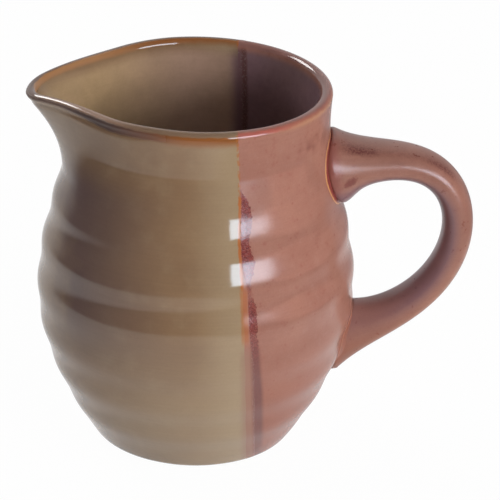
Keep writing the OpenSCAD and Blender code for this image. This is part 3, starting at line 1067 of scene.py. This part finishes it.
def hang_cloth():
    """Dark cloth in front of the jug and beside it, which only the gloss of the glaze shows."""
    made, start = new_material("dark_cloth")
    place = start.node("ShaderNodeTexCoord").out("Object")
    weave = start.node("ShaderNodeTexNoise", {}, {"Vector": place, "Scale": 40.0})
    dark = mixed(weave, (0.05, 0.05, 0.08, 1), (0.09, 0.09, 0.14, 1))
    dark = start.node("ShaderNodeEmission", {}, {"Color": dark})
    apart = start.node("ShaderNodeSeparateXYZ", {}, {0: place})
    away = start.node("ShaderNodeVectorMath", {"operation": "LENGTH"}, {0: place}).out("Value")
    behind = start.math("DIVIDE", apart.out("Y"), away).between(0.22, 0.62)
    clear = start.node("ShaderNodeBsdfTransparent")
    rightward = start.math("DIVIDE", apart.out("X"), away).between(0.05, 0.6)
    near = away*(1 + 0.4*rightward)
    cover = near.between(0.19, 0.30)*(1 - behind*(0.82 - 0.5*rightward))
    cover = 0.2 + 0.8*cover
    lay_surface(start, start.node("ShaderNodeMixShader", {}, {0: cover, 1: clear, 2: dark}))
    off_table = 0.001
    far_r = 1.7
    columns = 60
    rise = np.radians(np.linspace(0, 90, 24))
    path = [(r, off_table) for r in (0.02, 0.1, 0.2, 0.3, 0.6, 1.2)]
    path += [(far_r*math.cos(a), off_table + far_r*math.sin(a)) for a in rise]
    sides = np.radians(np.linspace(-180, 180, columns))
    points = np.array([[(r*math.sin(a), -r*math.cos(a), z) for a in sides] for r, z in path])
    faces = []
    for row in range(len(path) - 1):
        for a in range(row*columns, row*columns + columns - 1):
            faces.append((a, a + 1, a + columns + 1, a + columns))
    mesh = bpy.data.meshes.new("dark_cloth")
    mesh.from_pydata(points.reshape(-1, 3).tolist(), [], faces)
    cloth = new_piece("dark_cloth", mesh, made)
    cloth.visible_camera = False
    cloth.visible_diffuse = False
    cloth.visible_shadow = False
    cloth.visible_transmission = False


def add_lamp(name, place, size, power, lights=True, mirrored=True, colour=(1, 1, 1)):
    """A soft lamp turned to the jug, which lights it, is mirrored in it, or both.
    Its place is an angle from the camera's side, an angle above the table and a distance."""
    side, height, distance = place
    lamp = bpy.data.lights.new(name, "AREA")
    lamp.shape = "RECTANGLE"
    lamp.size, lamp.size_y = size
    lamp.energy = power
    lamp.color = colour
    side, height = math.radians(side), math.radians(height)
    way = Vector((math.sin(side)*math.cos(height), -math.cos(side)*math.cos(height), math.sin(height)))
    lit_object = bpy.data.objects.new(name, lamp)
    lit_object.location = Vector((0, 0, 0.06)) + distance*way
    lit_object.rotation_euler = way.to_track_quat("Z", "Y").to_euler()
    lit_object.visible_diffuse = lights
    lit_object.visible_glossy = mirrored
    bpy.context.scene.collection.objects.link(lit_object)


def light_scene():
    softbox = (41.5, 14.0, 1.0)
    softbox_size = (0.555, 0.36)
    add_lamp("softbox", softbox, softbox_size, 6.2, lights=False, colour=(0.84, 1.0, 1.17))
    add_lamp("softbox_light", softbox, softbox_size, 8.1, mirrored=False)
    add_lamp("left_panel", (-128, 37, 1.2), (0.5, 0.42), 8.0, lights=False)
    add_lamp("left_panel_light", (-130, 36, 1.2), (0.6, 0.5), 5.5, mirrored=False)
    add_lamp("ceiling", (45, 45, 1.3), (0.9, 0.9), 2.9, mirrored=False)
    world = bpy.data.worlds.new("studio")
    world.use_nodes = True
    world.node_tree.nodes.clear()
    bpy.context.scene.world = world
    start = Wire(world.node_tree)
    way = start.node("ShaderNodeTexCoord").out("Generated")
    behind = start.node("ShaderNodeSeparateXYZ", {}, {0: way}).out("Y").between(0.25, 0.85)
    warm = (1.0, 0.98, 0.96, 1)
    dim = start.node("ShaderNodeBackground", {}, {"Color": warm, "Strength": 0.2})
    brighter = start.node("ShaderNodeBackground", {}, {"Color": warm, "Strength": 0.7})
    air = start.node("ShaderNodeMixShader", {}, {0: behind, 1: dim, 2: brighter})
    white = start.node("ShaderNodeBackground", {}, {"Color": (1, 1, 1, 1), "Strength": 1.0})
    start.node("ShaderNodeOutputWorld", {}, {"Surface": seen_white(start, air, white)})


def set_camera():
    """The photograph's view, found from the jug's outline in its 500 by 500 pixels."""
    distance = 840.0
    down = math.radians(25.35)
    roll = math.radians(2.03)
    target = Vector((14.79, 0, 55.22))
    ahead = Vector((0, math.cos(down), -math.sin(down)))
    level = Vector((1, 0, 0))
    rise = level.cross(ahead)
    right = math.cos(roll)*level + math.sin(roll)*rise
    up = math.cos(roll)*rise - math.sin(roll)*level
    place = (target - distance*ahead)*MM
    turned = Matrix((right, up, -ahead)).transposed().to_4x4()
    lens = bpy.data.cameras.new("camera")
    lens.sensor_width = 36.0
    lens.lens = 217.85
    lens.clip_start = 0.01
    camera = bpy.data.objects.new("camera", lens)
    camera.matrix_world = Matrix.Translation(place) @ turned
    bpy.context.scene.collection.objects.link(camera)
    bpy.context.scene.camera = camera


make_jug()
lay_floor()
hang_cloth()
light_scene()
set_camera()
bpy.context.scene.view_settings.view_transform = "Standard"
